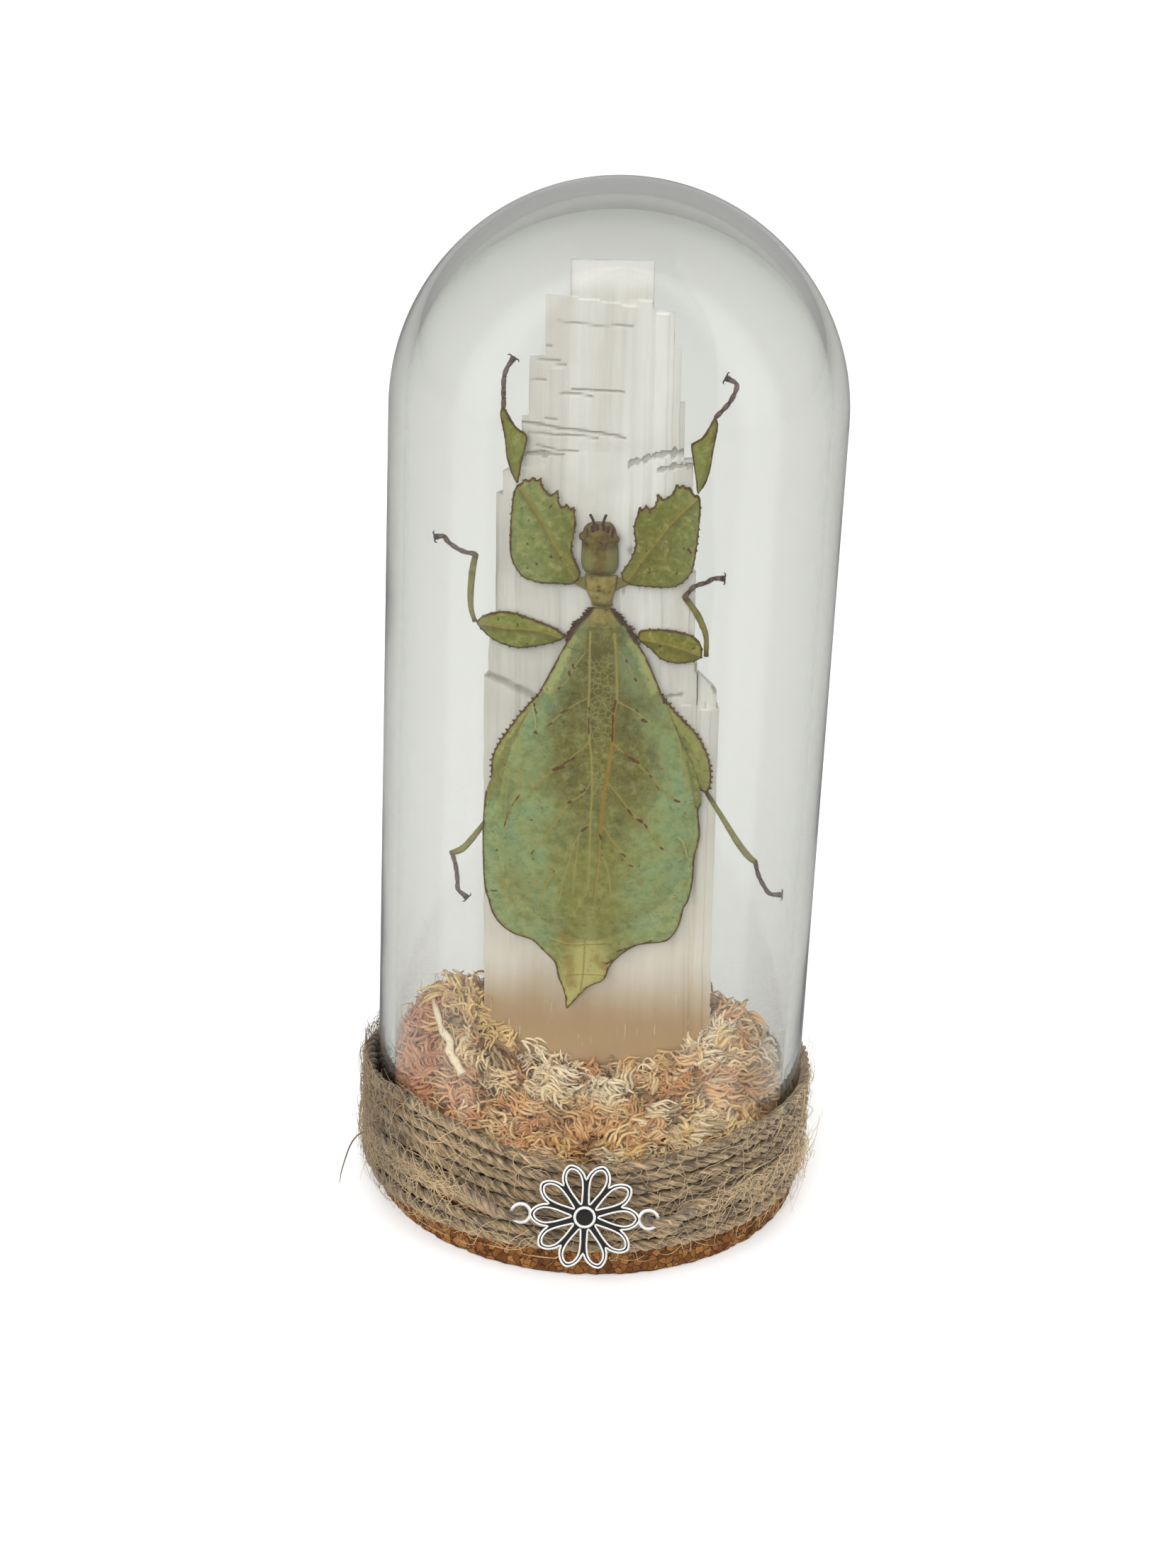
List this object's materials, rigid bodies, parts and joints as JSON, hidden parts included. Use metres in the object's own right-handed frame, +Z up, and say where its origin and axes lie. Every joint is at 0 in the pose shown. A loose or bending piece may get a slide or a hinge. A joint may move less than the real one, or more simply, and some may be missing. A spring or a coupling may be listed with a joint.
{
  "type": "insect in glass dome",
  "caption": "Dried leaf insect mounted on a raw selenite crystal in moss, under a glass dome on a cork base wound with jute twine and a flower charm.",
  "frame": {"origin": "centre of the flat round face under the cork base", "axes": "+Z up along the dome's axis, -Y towards the viewer: the insect's back and the charm face -Y"},
  "size_m": [0.1018, 0.1089, 0.227],
  "materials": {
    "cork": "agglomerated cork, granular, matt",
    "glass": "clear blown glass",
    "selenite": "raw selenite, white and silky, cleaved along its length, translucent",
    "moss": "dried sphagnum moss, cream to salmon",
    "jute": "natural jute twine, hairy",
    "antique_silver": "antique silver casting, polished rims over blackened grooves",
    "insect_leaf": "dried leathery wing and leaf plate, blue-green to olive, satin",
    "insect_body": "dried insect shell, tan to olive brown, satin",
    "insect_shank": "dried insect leg, olive, satin",
    "insect_feet": "dried insect foot, grey brown, matt"
  },
  "bodies": {
    "root": {"cork_base": "cork", "glass_dome": "glass", "selenite_crystal": "selenite", "moss_bed": "moss", "jute_winding": "jute", "charm_tie_left": "jute", "charm_tie_right": "jute", "flower_charm": "antique_silver", "head": "insect_body", "antenna_left": "insect_feet", "antenna_right": "insect_feet", "prothorax": "insect_body", "thorax": "insect_body", "abdomen": "insect_leaf", "forewing_left": "insect_leaf", "forewing_right": "insect_leaf", "fore_femur_left": "insect_leaf", "fore_femur_right": "insect_leaf", "fore_tibia_left": "insect_leaf", "fore_tibia_right": "insect_leaf", "fore_tarsus_left": "insect_feet", "fore_tarsus_right": "insect_feet", "mid_femur_left": "insect_leaf", "mid_femur_right": "insect_leaf", "mid_tibia_left": "insect_shank", "mid_tibia_right": "insect_shank", "mid_tarsus_left": "insect_feet", "mid_tarsus_right": "insect_feet", "hind_femur_left": "insect_leaf", "hind_femur_right": "insect_leaf", "hind_tibia_left": "insect_shank", "hind_tibia_right": "insect_shank", "hind_tarsus_left": "insect_feet", "hind_tarsus_right": "insect_feet"}
  },
  "joints": []
}
